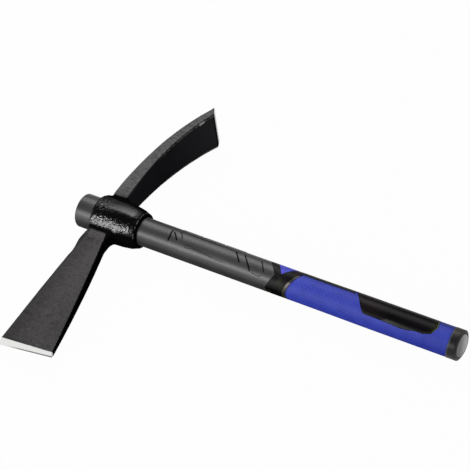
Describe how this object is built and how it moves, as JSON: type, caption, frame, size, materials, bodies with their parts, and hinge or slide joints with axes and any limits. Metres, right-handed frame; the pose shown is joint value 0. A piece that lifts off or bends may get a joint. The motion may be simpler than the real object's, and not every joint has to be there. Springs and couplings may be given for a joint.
{
  "type": "pickaxe",
  "caption": "Short-handled pickaxe: a forged head with an axe blade on one side and an adze blade on the other, on a moulded handle with a soft two-colour grip.",
  "frame": {"origin": "middle of the bounding box, at its bottom", "axes": "+X along the handle from the knob to the butt, +Y towards the adze blade, +Z out of the side that carries the badge panel"},
  "size_m": [0.4, 0.331, 0.0426],
  "materials": {
    "head_paint": "black forge paint over steel, with bare ground edges",
    "glass_fibre": "raw resin",
    "jacket_grey": "satin moulded",
    "grip_black": "soft matt",
    "accent_grey": "satin",
    "grip_blue": "soft, finely textured",
    "saddle_blue": "soft, finely textured",
    "badge_gloss": "polished",
    "edging_grey": "satin",
    "cap_black": "satin",
    "disc_grey": "satin"
  },
  "bodies": {
    "root": {"head": "head_paint", "fibreglass_core": "glass_fibre", "shaft_jacket": "jacket_grey", "grip_base": "grip_black", "accent_line": "accent_grey", "grip_sleeve": "grip_blue", "grip_saddle": "saddle_blue", "badge_panel": "badge_gloss", "badge_edging": "edging_grey", "butt_cap": "cap_black", "butt_disc": "disc_grey"}
  },
  "joints": []
}
